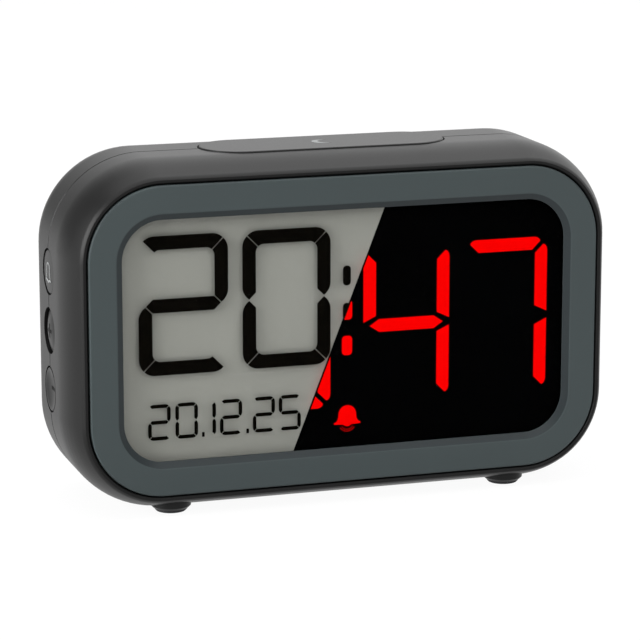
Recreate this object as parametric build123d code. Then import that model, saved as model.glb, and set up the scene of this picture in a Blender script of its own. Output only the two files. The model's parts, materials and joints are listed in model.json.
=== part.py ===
from build123d import *
import math
import os

# A free-standing digital desk clock. Sizes are in millimetres: x runs to the right of someone facing
# the display, y from front to back with the parting line of the two shells at 0, and z up.
# Pieces are drawn about the middle of the display and lifted onto their feet when they are written.

# Body
body_width = 138.0
body_height = 85.0
body_depth = 43.0
wall = 2.2
foot_height = 0.6

# Side profile of the two shells, as insets from the body's outline
front_straight = 8.0
front_inset = 2.8
front_edge_depth = 1.0
front_edge_run = 0.8
back_straight = 8.6
back_inset = 5.3
back_edge_depth = 1.0
back_edge_run = 1.2
lip_edge = 0.25
seam_groove = 0.3
tongue_height = 1.5
tongue_thickness = 1.0
tongue_gap = 0.1
back_inner_run = 2.0
join_run = 3.0
join_overlap = 1.0

# Bezel frame and display window
bezel_inset = 4.8
bezel_gap = 0.35
bezel_proud = 0.2
bezel_thickness = 3.2
bezel_border = 6.7
bezel_edge_round = 0.5
chamfer_width = 1.6
chamfer_depth = 1.0
bevel_edge_width = 0.25
bevel_edge_depth = 0.08
window_land = 0.3
lens_thickness = 1.2
lens_overlap = 1.6
shelf_thickness = 2.0
seat_gap = 0.15

# LCD panel: two glasses, the front one taller, so that its ledges carry the contact strips
lcd_overlap = 2.1
lcd_glass = 1.1
lcd_ledge = 1.5
lcd_corner = 0.8
lcd_clearance = 0.3
strip_width = 1.0
strip_end_margin = 6.0

# LED light box with one well for each segment
film_thickness = 0.2
light_box_depth = 7.8
light_box_margin = 4.1
light_box_corner = 2.0
digit_side_margin = 4.0
digit_end_margin = 9.8
digit_space = 3.5
colon_space = 8.4
display_shift = 0.27
digit_stroke = 3.2
digit_gap = 0.8
digit_tip = 1.1
digit_round = 1.0
bar_point = 1.6
bar_slope = 1.5
colon_width = 2.6
colon_height = 4.8
colon_offset = 4.4
bell_width = 6.6
bell_height = 5.6
bell_shoulder = 1.8
bell_end_margin = 7.4
insert_depth = 1.2
insert_gap = 0.1
led_length = 1.6
led_width = 0.9
led_height = 0.7
peg_radius = 1.0
peg_head = 0.8
peg_gap = 0.1
peg_side_margin = 3.9
peg_end_margin = 3.0

# Main board
board_thickness = 1.6
board_side_margin = 1.0
board_end_margin = 0.2
board_corner = 1.5
ear_radius = 3.8
ear_side_clearance = 4.2
ear_end_clearance = 0.7
board_boss_radius = 2.8
board_screw_radius = 1.0
board_screw_length = 6.0
board_screw_head_radius = 2.0
board_screw_head_height = 1.4
chip_radius = 7.0
chip_height = 1.8
chip_x = -20.0
chip_z = 20.0
crystal_radius = 1.0
crystal_length = 6.0
crystal_x = 6.0
crystal_z = 18.0
crystal_lead_radius = 0.2
crystal_lead_spacing = 0.8
crystal_lead_length = 1.5

# Screws that hold the two shells together
housing_screw_inset = 7.5
housing_post_clearance = 0.9
housing_screw_radius = 1.3
housing_screw_length = 14.0
housing_screw_head_radius = 2.5
housing_screw_head_height = 1.8
housing_seat_y = 6.0
housing_post_radius = 3.6
screw_gap = 0.1
cross_width = 0.8
cross_depth = 0.7
cross_margin = 0.75
screw_edge = 0.5

# Push switches, all of one kind
switch_size = 6.0
switch_height = 2.5
switch_corner = 0.6
plunger_radius = 1.7
plunger_gap = 0.3
plunger_stop_gap = 0.1
cap_stop_gap = 0.2

# Snooze bar in the top
snooze_length = 62.0
snooze_width = 19.5
snooze_gap = 0.35
snooze_proud = 0.3
snooze_edge_round = 0.4
snooze_travel = 1.0
snooze_skin = 1.8
snooze_rim = 1.6
snooze_flange = 1.0
snooze_flange_drop = 0.8
snooze_flange_thickness = 1.2
snooze_pad_radius = 2.6
snooze_switch_inset = 15.0
snooze_rib = 1.2
top_board_reach = 7.0
top_board_width = 14.0

# Round buttons in the left side
button_radius = 5.4
button_gap = 0.3
button_pitch = 14.5
button_end_room = 5.0
button_travel = 0.7
button_flange = 1.0
button_flange_thickness = 1.1
button_flange_gap = 0.3
button_edge_round = 0.4
button_rim = 0.1
alarm_bulge = 0.15
plus_bulge = 0.7
minus_bulge = -0.8
side_board_reach = 5.5
side_board_width = 18.0

# Jaws on the shells that hold the two switch boards by their edges
jaw_thickness = 1.8
jaw_wall = 1.2
jaw_bite = 3.0
jaw_gap = 0.1
jaw_inset = 3.0

# Battery bay in the back, with two size AA cells one above the other
cell_radius = 7.25
cell_length = 50.5
cell_nub_radius = 2.75
cell_nub_length = 1.0
cell_edge = 0.6
cell_gap = 0.4
leaf_room = 3.5
contact_thickness = 0.5
contact_width = 9.0
contact_tail_width = 3.0
contact_tail_length = 2.0
bay_wall = 2.4
bay_floor = 1.6
bay_z = -6.0

# Battery door, hinged on two moulded pins at its lower edge
door_thickness = 2.4
door_overlap = 1.2
door_gap = 0.3
door_rest_gap = 0.15
door_corner = 2.0
door_pin_radius = 0.5
door_pin_length = 1.2
door_pin_gap = 0.25
door_pin_end_gap = 0.3
latch_width = 14.0
latch_height = 8.0
latch_slit = 0.8
grip_count = 4
grip_width = 10.0
grip_height = 0.7
grip_pitch = 1.4
grip_depth = 0.4

# Sounder behind holes in the back
sounder_z = -4.0
sounder_radius = 10.0
sounder_brass = 0.3
sounder_ceramic_radius = 7.2
sounder_ceramic_thickness = 0.25
sounder_ring_width = 1.5
sounder_ring_height = 1.5
sound_hole_radius = 0.9
sound_hole_pitch = 3.2
sound_hole_rings = 2

# Rubber feet
foot_radius = 4.0
foot_stand = 0.75
foot_taper = 0.1
foot_edge = 0.3
foot_recess = 0.8
foot_recess_gap = 0.1
foot_boss_radius = 4.9
foot_boss_edge = 0.6
foot_inset = 26.0
foot_y = 14.2

# Leads inside the body
lead_radius = 0.6
lead_pitch = 1.6
lead_bend = 4.0
lead_reach = 2.0
lead_rise = 3.0

# Places that follow from the sizes above
front = -body_depth / 2
back = body_depth / 2
top = body_height / 2
side = body_width / 2
lift = foot_height + body_height / 2
lip_face = front + bezel_proud
lip_inner = bezel_inset - bezel_gap
body_corner = (body_height - 2 * button_pitch - 2 * button_end_room) / 2
shelf_front = front + bezel_thickness
shelf_back = shelf_front + shelf_thickness
shelf_join = lip_inner + join_run
bezel_width = body_width - 2 * bezel_inset
bezel_height = body_height - 2 * bezel_inset
bezel_corner = body_corner - bezel_inset
window_inset = bezel_border + chamfer_width
lens_front = front + chamfer_depth + window_land
lens_back = lens_front + lens_thickness
window_width = bezel_width - 2 * window_inset
window_height = bezel_height - 2 * window_inset
lcd_width = window_width + 2 * lcd_overlap
lcd_height = window_height + 2 * lcd_overlap
lcd_front = lens_back + seat_gap
lcd_back = lcd_front + 2 * lcd_glass
light_front = lcd_back + film_thickness
board_front = light_front + light_box_depth
board_back = board_front + board_thickness
light_box_width = lcd_width - 2 * light_box_margin
light_box_height = lcd_height - 2 * lcd_ledge
peg_x = light_box_width / 2 - peg_side_margin
peg_z = light_box_height / 2 - peg_end_margin
digit_width = (window_width - 2 * digit_side_margin - 2 * digit_space - colon_space) / 4
digit_height = window_height - 2 * digit_end_margin
digit_step = digit_width + digit_space
digit_inner_middle = (colon_space + digit_width) / 2
digit_middles = [display_shift + sign * (digit_inner_middle + out * digit_step)
                 for sign, out in ((-1, 1), (-1, 0), (1, 0), (1, 1))]
bell_z = bell_end_margin - window_height / 2
board_width = lcd_width - 2 * board_side_margin
board_height = lcd_height - 2 * board_end_margin
ear_x = snooze_length / 2 + snooze_flange + ear_side_clearance + ear_radius
ear_z = lcd_height / 2 + lcd_clearance + board_boss_radius + ear_end_clearance
front_arc_run = -lip_face - front_edge_depth - front_straight
front_arc_radius = (front_arc_run ** 2 + front_inset ** 2) / (2 * front_inset)
back_inner_inset = back_inset + back_inner_run
back_join = back_inner_inset + join_run
snooze_switch_x = snooze_length / 2 - snooze_switch_inset
top_board_length = 2 * (snooze_switch_x + top_board_reach)
top_jaw_x = top_board_length / 2 - jaw_inset
side_board_length = 2 * (button_pitch + side_board_reach)
side_jaw_z = side_board_length / 2 - jaw_inset
housing_screw_x = side - housing_screw_inset
housing_screw_z = side_board_length / 2 + housing_post_radius + housing_post_clearance
foot_x = side - foot_inset
foot_boss_face = foot_stand - foot_height - top
foot_top = foot_boss_face + foot_recess
snooze_flange_top = top - wall - snooze_flange_drop
snooze_pad_face = snooze_flange_top - snooze_flange_thickness
top_switch_face = snooze_pad_face - snooze_travel - cap_stop_gap
top_board_face = top_switch_face - switch_height
button_flange_face = -side + wall + button_flange_gap
button_inner_face = button_flange_face + button_flange_thickness
side_switch_face = button_inner_face + button_travel + cap_stop_gap
side_board_face = side_switch_face + switch_height
bay_length = cell_length + leaf_room + 2 * contact_thickness
bay_height = 4 * cell_radius + 3 * cell_gap
bay_rim = back - door_thickness - door_rest_gap
cell_y = bay_rim - cell_gap - cell_radius
bay_floor_face = cell_y - cell_radius - cell_gap
cell_pitch = 2 * cell_radius + cell_gap
door_width = bay_length + 2 * door_overlap
door_height = bay_height + 2 * door_overlap
door_bottom = bay_z - door_height / 2
hinge_y = back - door_thickness / 2
hinge_z = door_bottom + door_thickness / 2
sounder_face = back - wall - sounder_ring_height
sounder_x = (bay_length / 2 + bay_wall + side - back_inner_inset) / 2
corner_signs = [(sx, sz) for sx in (-1, 1) for sz in (-1, 1)]


def outline(inset):
    """The body's rounded outline, drawn in by the inset on every side."""
    return RectangleRounded(body_width - 2 * inset, body_height - 2 * inset, body_corner - inset)


def slab(sketch, y_from, y_to):
    """A sketch in x and z, extruded along the depth."""
    return extrude(Plane.XZ.offset(-y_from) * sketch, amount=y_to - y_from, dir=(0, 1, 0))


def block(x_range, y_range, z_range):
    """A box between two corners."""
    size = [high - low for low, high in (x_range, y_range, z_range)]
    middle = [(high + low) / 2 for low, high in (x_range, y_range, z_range)]
    return Pos(*middle) * Box(*size)


def post(x, z, radius, y_from, y_to):
    """A cylinder along the depth."""
    return slab(Pos(x, z) * Circle(radius), y_from, y_to)


def stud(y, z, radius, x_from, x_to):
    """A cylinder along the width."""
    return extrude(Plane.YZ.offset(x_from) * (Pos(y, z) * Circle(radius)), amount=x_to - x_from)


def pillar(x, y, radius, z_from, z_to):
    """A cylinder along the height."""
    return extrude(Plane.XY.offset(z_from) * (Pos(x, y) * Circle(radius)), amount=z_to - z_from)


def write(name, *shapes):
    """Lifts the solids onto the feet and writes them as one node."""
    placed = [Pos(0, 0, lift) * shape for shape in shapes]
    export_step(placed[0] if len(placed) == 1 else Compound(children=placed), f"parts/{name}.step")


# Shell profiles: the first number is the inset from the outline, the second the depth

def front_inner_inset(y):
    """Inset of the front shell's inner face, a wall's thickness inside the outer arc."""
    reach = y + front_straight
    return front_arc_radius - math.sqrt((front_arc_radius - wall) ** 2 - reach ** 2)


def front_profile():
    """Cross-section of the front shell: side wall, shoulder, lip, and the root of its shelf."""
    shoulder_end = (front_inset, lip_face + front_edge_depth)
    lip_start = (front_inset + front_edge_run, lip_face)
    shoulder = TangentArc((0, -front_straight), shoulder_end, tangent=(0, -1))
    edge = TangentArc(shoulder_end, lip_start, tangent=shoulder % 1)
    inner_end = (front_inner_inset(shelf_back), shelf_back)
    inner = TangentArc((wall, -front_straight), inner_end, tangent=(0, -1))
    step_inset = wall - tongue_thickness - tongue_gap
    step_depth = -tongue_height - tongue_gap
    return make_face([
        Polyline((seam_groove, 0), (0, -seam_groove), (0, -front_straight)),
        shoulder,
        edge,
        Polyline(lip_start, (lip_inner - lip_edge, lip_face), (lip_inner, lip_face + lip_edge),
                 (lip_inner, shelf_front), (shelf_join, shelf_front), (shelf_join, shelf_back), inner_end),
        inner,
        Polyline((wall, -front_straight), (wall, step_depth), (step_inset, step_depth), (step_inset, 0),
                 (seam_groove, 0)),
    ])


def back_outer():
    """The rear shell's outer arcs, and the point where they meet the flat back."""
    shoulder_end = (back_inset, back - back_edge_depth)
    flat_start = (back_inset + back_edge_run, back)
    shoulder = TangentArc((0, back_straight), shoulder_end, tangent=(0, 1))
    edge = TangentArc(shoulder_end, flat_start, tangent=shoulder % 1)
    return shoulder, edge, flat_start


def back_profile():
    """Cross-section of the rear shell: tongue, side wall, shoulder, and the edge of its back."""
    back_face = back - wall
    shoulder, edge, flat_start = back_outer()
    inner_end = (back_inner_inset, back_face)
    inner = TangentArc((wall, back_straight), inner_end, tangent=(0, 1))
    return make_face([
        Polyline((seam_groove, 0), (0, seam_groove), (0, back_straight)),
        shoulder,
        edge,
        Polyline(flat_start, (back_join, back), (back_join, back_face), inner_end),
        inner,
        Polyline((wall, back_straight), (wall, -tongue_height), (wall - tongue_thickness, -tongue_height),
                 (wall - tongue_thickness, 0), (seam_groove, 0)),
    ])


def back_core():
    """The rear shell's outer form as one full solid, to trim what stands inside it."""
    shoulder, edge, flat_start = back_outer()
    profile = make_face([
        Line((0, 0), (0, back_straight)),
        shoulder,
        edge,
        Polyline(flat_start, (back_join, back), (back_join, 0), (0, 0)),
    ])
    return round_the_body(profile) + slab(outline(back_join - join_overlap), 0, back)


def round_the_body(profile):
    """Carries a shell's cross-section once round the body's rounded outline."""
    right = side - body_corner
    high = top - body_corner
    turn = body_corner
    path = Wire([
        Line((0, -top), (right, -top)),
        CenterArc((right, -high), turn, -90, 90),
        Line((side, -high), (side, high)),
        CenterArc((right, high), turn, 0, 90),
        Line((right, top), (-right, top)),
        CenterArc((-right, high), turn, 90, 90),
        Line((-side, high), (-side, -high)),
        CenterArc((-right, -high), turn, 180, 90),
        Line((-right, -top), (0, -top)),
    ])
    start = Plane(origin=(0, 0, -top), x_dir=(0, 0, 1), z_dir=(-1, 0, 0))
    return sweep(start * profile, path=Plane.XZ * path)


# Openings that both shells share, because the parting line runs through them

def button_rows():
    """Heights of the three side buttons, from the top."""
    return [button_pitch, 0.0, -button_pitch]


def shared_openings():
    """The snooze bar's slot in the top and the three round holes in the left side."""
    reach = wall + snooze_gap
    slot = SlotOverall(snooze_length + 2 * snooze_gap, snooze_width + 2 * snooze_gap)
    cuts = extrude(Plane.XY.offset(top - reach - snooze_flange_drop) * slot, amount=2 * reach)
    for z in button_rows():
        cuts += stud(0, z, button_radius + button_gap, -side - reach, -side + wall + button_flange_gap)
    return cuts


def with_foot_bosses(shell, y):
    """A shell with two round bosses under it at one depth, each with a level pocket for a foot."""
    for sx in (-1, 1):
        boss = pillar(sx * foot_x, y, foot_boss_radius, foot_boss_face, -top + 2 * wall)
        shell += chamfer(boss.edges().group_by(Axis.Z)[0], foot_boss_edge)
        shell -= pillar(sx * foot_x, y, foot_radius + foot_recess_gap, -top - foot_height, foot_top)
    return shell


def top_jaw(x, y_root, y_edge):
    """A jaw that takes one edge of the top switch board, from its root on a shell to past the edge."""
    sense = math.copysign(1, y_edge - y_root)
    x_range = (x - jaw_thickness / 2, x + jaw_thickness / 2)
    z_low = top_board_face - board_thickness - jaw_gap
    z_high = top_board_face + jaw_gap
    body = block(x_range, sorted((y_root, y_edge + sense * jaw_bite)), (z_low - jaw_wall, z_high + jaw_wall))
    slot = block(x_range, sorted((y_edge - sense * jaw_gap, y_edge + sense * jaw_bite)), (z_low, z_high))
    return body - slot


def side_jaw(z, y_root, y_edge):
    """A jaw that takes one edge of the side switch board."""
    sense = math.copysign(1, y_edge - y_root)
    z_range = (z - jaw_thickness / 2, z + jaw_thickness / 2)
    x_low = side_board_face - jaw_gap
    x_high = side_board_face + board_thickness + jaw_gap
    body = block((x_low - jaw_wall, x_high + jaw_wall), sorted((y_root, y_edge + sense * jaw_bite)), z_range)
    slot = block((x_low, x_high), sorted((y_edge - sense * jaw_gap, y_edge + sense * jaw_bite)), z_range)
    return body - slot


def front_shell():
    """Front housing: wall and shoulders, the shelf that carries the bezel, bosses and jaws."""
    opening = Rectangle(lcd_width + 2 * lcd_clearance, lcd_height + 2 * lcd_clearance)
    shell = round_the_body(front_profile())
    shell += slab(outline(shelf_join - join_overlap), shelf_front, shelf_back)
    for sx, sz in corner_signs:
        shell += post(sx * ear_x, sz * ear_z, board_boss_radius, shelf_front, board_front)
        shell += post(sx * housing_screw_x, sz * housing_screw_z, housing_post_radius, shelf_front, 0)
    for sign in (-1, 1):
        shell += top_jaw(sign * top_jaw_x, shelf_front, -top_board_width / 2)
        shell += side_jaw(sign * side_jaw_z, shelf_front, -side_board_width / 2)
    shell -= slab(opening, front, shelf_back)
    shell -= shared_openings()
    for sx, sz in corner_signs:
        board_hole = board_screw_radius + screw_gap
        board_hole_end = board_back - board_screw_length - screw_gap
        shell -= post(sx * ear_x, sz * ear_z, board_hole, board_hole_end, board_front)
        hole = housing_screw_radius + screw_gap
        hole_end = housing_seat_y - housing_screw_length - screw_gap
        shell -= post(sx * housing_screw_x, sz * housing_screw_z, hole, hole_end, 0)
    return with_foot_bosses(shell, -foot_y)


def sound_holes():
    """Round holes on a hexagonal grid in front of the sounder."""
    holes = []
    for row in range(-sound_hole_rings, sound_hole_rings + 1):
        count = 2 * sound_hole_rings + 1 - abs(row)
        z = sounder_z + row * sound_hole_pitch * math.sqrt(3) / 2
        for column in range(count):
            x = sounder_x + (column - (count - 1) / 2) * sound_hole_pitch
            holes.append(post(x, z, sound_hole_radius, back - 2 * wall, back + wall))
    return holes


def contact_slot(z):
    """The slit in the bay's end wall that a contact's tail passes through."""
    half = contact_tail_width / 2 + jaw_gap
    y_range = (cell_y - contact_thickness / 2 - jaw_gap, cell_y + contact_thickness / 2 + jaw_gap)
    return block((bay_length / 2 - jaw_gap, bay_length / 2 + 2 * bay_wall), y_range, (z - half, z + half))


def rear_shell():
    """Rear housing: wall and shoulders, back, battery bay, screw posts, sounder ring and jaws."""
    back_face = back - wall
    shell = round_the_body(back_profile())
    shell += slab(outline(back_join - join_overlap), back_face, back)
    bay_outer = Pos(0, bay_z) * Rectangle(bay_length + 2 * bay_wall, bay_height + 2 * bay_wall)
    shell += slab(bay_outer, bay_floor_face - bay_floor, back)
    core = back_core()
    for sx, sz in corner_signs:
        shell += post(sx * housing_screw_x, sz * housing_screw_z, housing_post_radius, 0, back_face) & core
    ring = Circle(sounder_radius) - Circle(sounder_radius - sounder_ring_width)
    shell += slab(Pos(sounder_x, sounder_z) * ring, sounder_face, back_face)
    for sign in (-1, 1):
        shell += top_jaw(sign * top_jaw_x, back_face, top_board_width / 2)
        shell += side_jaw(sign * side_jaw_z, back_face, side_board_width / 2)
    shell -= shared_openings()
    hole_width = door_width + 2 * door_gap
    hole_height = door_height + 2 * door_gap
    door_hole = Pos(0, bay_z) * RectangleRounded(hole_width, hole_height, door_corner + door_gap)
    door_hole += Pos(0, bay_z - hole_height / 4) * Rectangle(hole_width, hole_height / 2)
    shell -= slab(door_hole, bay_rim, back)
    shell -= slab(Pos(0, bay_z) * Rectangle(bay_length, bay_height), bay_floor_face, bay_rim)
    pin_reach = door_width / 2 + door_pin_length + door_pin_end_gap
    shell -= stud(hinge_y, hinge_z, door_pin_radius + door_pin_gap, -pin_reach, pin_reach)
    for sz in (-1, 1):
        shell -= contact_slot(bay_z + sz * cell_pitch / 2)
    for sx, sz in corner_signs:
        x = sx * housing_screw_x
        z = sz * housing_screw_z
        shell -= post(x, z, housing_screw_head_radius + 2 * screw_gap, housing_seat_y, back)
        shell -= post(x, z, housing_screw_radius + screw_gap, 0, housing_seat_y)
    for hole in sound_holes():
        shell -= hole
    return with_foot_bosses(shell, foot_y)


# Display stack, from the front to the back

def window(inset):
    """The bezel's outline drawn in by an inset, with its corners kept concentric."""
    return RectangleRounded(bezel_width - 2 * inset, bezel_height - 2 * inset, bezel_corner - inset)


def bevel(inset_front, inset_deep, depth):
    """A window-shaped block that narrows from the bezel's front down to a depth."""
    return loft([
        Plane.XZ.offset(-front) * window(inset_front),
        Plane.XZ.offset(-front - depth) * window(inset_deep),
    ])


def bezel_frame():
    """Slate frame: rounded front edge, bevelled window, and rebates behind it for the lens and the LCD."""
    frame = slab(window(0), front, shelf_front)
    frame = fillet(frame.edges().group_by(Axis.Y)[0], bezel_edge_round)
    edge_inset = bezel_border + bevel_edge_depth * chamfer_width / chamfer_depth
    lcd_rebate = Rectangle(lcd_width + 2 * lcd_clearance, lcd_height + 2 * lcd_clearance)
    frame -= bevel(bezel_border - bevel_edge_width, edge_inset, bevel_edge_depth)
    frame -= bevel(bezel_border, window_inset, chamfer_depth)
    frame -= slab(window(window_inset), front, shelf_front)
    frame -= slab(window(window_inset - lens_overlap - seat_gap), lens_front, shelf_front)
    frame -= slab(lcd_rebate, lens_back, shelf_front)
    return frame


def lens():
    """Clear window that lies in the bezel's rebate."""
    return slab(window(window_inset - lens_overlap), lens_front, lens_back)


def lcd_panel():
    """Two glasses, the front one with a ledge above and below for the contact strips."""
    front_glass = RectangleRounded(lcd_width, lcd_height, lcd_corner)
    rear_glass = RectangleRounded(lcd_width, lcd_height - 2 * lcd_ledge, lcd_corner)
    panel = slab(front_glass, lcd_front, lcd_front + lcd_glass)
    return panel + slab(rear_glass, lcd_front + lcd_glass, lcd_back)


def contact_strip(sign):
    """Rubber strip that joins the LCD's ledge to the board."""
    length = lcd_width - 2 * strip_end_margin
    z = sign * (lcd_height / 2 - lcd_ledge / 2)
    return slab(Pos(0, z) * Rectangle(length, strip_width), lcd_front + lcd_glass, board_front)


def segment_outlines(shrink):
    """Outlines of the seven bars of one digit, about the digit's middle, drawn in by the shrink.

    Bars end in 45 degree points at the four corners, which are blunted outside. The middle bar ends in
    long points that reach between the ends of the side bars.
    """
    w = digit_width / 2
    h = digit_height / 2
    s = digit_stroke
    cut = digit_gap + digit_tip
    blunt = cut + digit_round
    half = s / 2
    top_bar = [
        (-w + blunt, h), (-w + cut, h - digit_tip), (-w + digit_gap + s, h - s),
        (w - digit_gap - s, h - s), (w - cut, h - digit_tip), (w - blunt, h),
    ]
    right_bar = [
        (w, h - blunt), (w - digit_tip, h - cut), (w - s, h - digit_gap - s),
        (w - s, half + digit_gap), (w, half + digit_gap - bar_slope),
    ]
    middle_bar = [
        (-w + bar_point, 0), (-w + s + digit_gap, half), (w - s - digit_gap, half),
        (w - bar_point, 0), (w - s - digit_gap, -half), (-w + s + digit_gap, -half),
    ]
    bars = [Polygon(*middle_bar, align=None)]
    for sz in (-1, 1):
        bars.append(Polygon(*[(x, sz * z) for x, z in top_bar], align=None))
        for sx in (-1, 1):
            bars.append(Polygon(*[(sx * x, sz * z) for x, z in right_bar], align=None))
    return [offset(bar, -shrink, kind=Kind.INTERSECTION) if shrink else bar for bar in bars]


def bell_outline(shrink):
    """A bell: domed top, flared skirt."""
    half = bell_width / 2 - shrink
    low = -bell_height / 2 + shrink
    high = bell_height / 2 - shrink
    shoulder = bell_shoulder - shrink
    return make_face([
        Polyline((-shoulder, 0), (-half, low), (half, low), (shoulder, 0)),
        ThreePointArc((shoulder, 0), (0, high), (-shoulder, 0)),
    ])


def lit_shapes(shrink=0.0):
    """Every lit shape of the display: four digits, two colon dots and the bell."""
    shapes = []
    for middle in digit_middles:
        for bar in segment_outlines(shrink):
            shapes.append(Pos(middle, 0) * bar)
    for sz in (-1, 1):
        dot = Rectangle(colon_width - 2 * shrink, colon_height - 2 * shrink)
        shapes.append(Pos(display_shift, sz * colon_offset) * dot)
    shapes.append(Pos(display_shift, bell_z) * bell_outline(shrink))
    return shapes


def light_box():
    """White block with one well through it for every lit shape, and pegs that pass through the board."""
    plan = RectangleRounded(light_box_width, light_box_height, light_box_corner)
    body = slab(plan, light_front, board_front)
    wells = [slab(shape, light_front, board_front) for shape in lit_shapes()]
    body -= wells
    for sx, sz in corner_signs:
        body += post(sx * peg_x, sz * peg_z, peg_radius, board_front, board_back + peg_head)
    return body


def diffuser_film():
    """Thin film between the LCD and the light box."""
    plan = RectangleRounded(light_box_width, light_box_height, light_box_corner)
    return slab(plan, lcd_back, light_front)


def segment_inserts():
    """Translucent inserts that fill the mouth of each well."""
    return [slab(shape, light_front, light_front + insert_depth) for shape in lit_shapes(insert_gap)]


def segment_leds():
    """One small LED on the board at the bottom of each well."""
    leds = []
    for shape in lit_shapes():
        box = shape.bounding_box()
        middle = box.center()
        upright = box.size.Y > box.size.X
        size = (led_width, led_length) if upright else (led_length, led_width)
        leds.append(slab(Pos(middle.X, middle.Y) * Rectangle(*size), board_front - led_height, board_front))
    return leds


def main_board():
    """Circuit board with four ears for its screws and holes for the light box's pegs."""
    plan = RectangleRounded(board_width, board_height, board_corner)
    for sx, sz in corner_signs:
        plan += Pos(sx * ear_x, sz * ear_z / 2) * Rectangle(2 * ear_radius, ear_z)
        plan += Pos(sx * ear_x, sz * ear_z) * Circle(ear_radius)
    for sx, sz in corner_signs:
        plan -= Pos(sx * ear_x, sz * ear_z) * Circle(board_screw_radius + screw_gap)
        plan -= Pos(sx * peg_x, sz * peg_z) * Circle(peg_radius + peg_gap)
    return slab(plan, board_front, board_back)


def driver_chip():
    """Domed drop of resin over the chip, on the back of the board."""
    dome = ThreePointArc((-chip_radius, 0), (0, chip_height), (chip_radius, 0))
    half = make_face([dome, Line((chip_radius, 0), (-chip_radius, 0))])
    half &= Pos(chip_radius / 2, chip_height / 2) * Rectangle(chip_radius, chip_height)
    return Pos(chip_x, board_back, chip_z) * revolve(Plane.XY * half, Axis.Y)


def crystal():
    """Small metal can that lies on the board, with two leads bent down to it."""
    y = board_back + crystal_radius
    low = crystal_z - crystal_length / 2
    can = pillar(crystal_x, y, crystal_radius, low, low + crystal_length)
    for sign in (-1, 1):
        x = crystal_x + sign * crystal_lead_spacing / 2
        bend = low - crystal_lead_length
        can += pillar(x, y, crystal_lead_radius, bend, low)
        can += post(x, bend, crystal_lead_radius, board_back, y)
    return can


# Switches, snooze bar and buttons

def top_switch(x):
    """Push switch on the top board, with a round well for its plunger."""
    plan = RectangleRounded(switch_size, switch_size, switch_corner) - Circle(plunger_radius + plunger_gap)
    return extrude(Plane.XY.offset(top_board_face) * (Pos(x, 0) * plan), amount=switch_height)


def side_switch(z):
    """Push switch on the side board, with a round well for its plunger."""
    plan = RectangleRounded(switch_size, switch_size, switch_corner) - Circle(plunger_radius + plunger_gap)
    return extrude(Plane.YZ.offset(side_switch_face) * (Pos(0, z) * plan), amount=switch_height)


def top_plunger(x):
    """Plunger between the snooze bar and a switch. It stops just above the board."""
    low = top_board_face + snooze_travel + plunger_stop_gap
    return pillar(x, 0, plunger_radius, low, snooze_pad_face)


def side_plunger(z):
    """Plunger between a side button and its switch."""
    return stud(0, z, plunger_radius, button_inner_face, side_board_face - button_travel - plunger_stop_gap)


def snooze_bar():
    """Long push bar, a little proud of the top, hollow below with a rim, ribs and two pads."""
    cap_top = top + snooze_proud
    cap_plan = SlotOverall(snooze_length, snooze_width)
    flange_plan = SlotOverall(snooze_length + 2 * snooze_flange, snooze_width + 2 * snooze_flange)
    hollow_plan = SlotOverall(snooze_length - 2 * snooze_rim, snooze_width - 2 * snooze_rim)
    bar = extrude(Plane.XY.offset(snooze_pad_face) * cap_plan, amount=cap_top - snooze_pad_face)
    bar = fillet(bar.edges().group_by(Axis.Z)[-1], snooze_edge_round)
    bar += extrude(Plane.XY.offset(snooze_pad_face) * flange_plan, amount=snooze_flange_thickness)
    hollow_height = cap_top - snooze_skin - snooze_pad_face
    hollow = extrude(Plane.XY.offset(snooze_pad_face) * hollow_plan, amount=hollow_height)
    for x in (-snooze_switch_x, 0.0, snooze_switch_x):
        hollow -= block((x - snooze_rib / 2, x + snooze_rib / 2), (-snooze_width, snooze_width), (0, top))
    for x in (-snooze_switch_x, snooze_switch_x):
        hollow -= pillar(x, 0, snooze_pad_radius, 0, top)
    return bar - hollow


def button(z, bulge):
    """Round button with a flange behind the wall. Its face is part of a ball, raised or hollow."""
    rim = button_radius - button_edge_round - button_rim
    dish = abs(bulge)
    sense = -math.copysign(1, bulge)
    low = -side + max(bulge, 0)
    round_start = (low, button_radius - button_edge_round)
    round_end = (low + button_edge_round, button_radius)
    ball = (rim ** 2 + dish ** 2) / (2 * dish)
    middle = (low + sense * (dish - ball + math.sqrt(ball ** 2 - rim ** 2 / 4)), rim / 2)
    section = make_face([
        ThreePointArc((low + sense * dish, 0), middle, (low, rim)),
        Line((low, rim), round_start),
        TangentArc(round_start, round_end, tangent=(0, 1)),
        Polyline(round_end, (button_flange_face, button_radius),
                 (button_flange_face, button_radius + button_flange),
                 (button_inner_face, button_radius + button_flange), (button_inner_face, 0),
                 (low + sense * dish, 0)),
    ])
    return Pos(0, 0, z) * revolve(section, Axis.X)


def top_switch_board():
    """Small board under the snooze bar."""
    plan = RectangleRounded(top_board_length, top_board_width, board_corner)
    return extrude(Plane.XY.offset(top_board_face - board_thickness) * plan, amount=board_thickness)


def side_switch_board():
    """Small board behind the side buttons."""
    plan = RectangleRounded(side_board_width, side_board_length, board_corner)
    return extrude(Plane.YZ.offset(side_board_face) * plan, amount=board_thickness)


# Battery bay

def cell(z, sense):
    """Size AA cell, with its positive nub towards +x for a sense of 1."""
    nub_end = bay_length / 2 - contact_thickness
    body = nub_end - cell_nub_length
    tail = nub_end - cell_length
    can = stud(cell_y, z, cell_radius, tail, body)
    can = chamfer(can.edges(), cell_edge)
    can += stud(cell_y, z, cell_nub_radius, body, nub_end)
    return can if sense > 0 else mirror(can, Plane.YZ)


def contact_plate(z, x_wall, sense):
    """Flat contact against an end wall of the bay. The sense points into the bay."""
    x_range = sorted((x_wall, x_wall + sense * contact_thickness))
    half = contact_width / 2
    return block(x_range, (cell_y - half, cell_y + half), (z - half, z + half))


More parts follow.
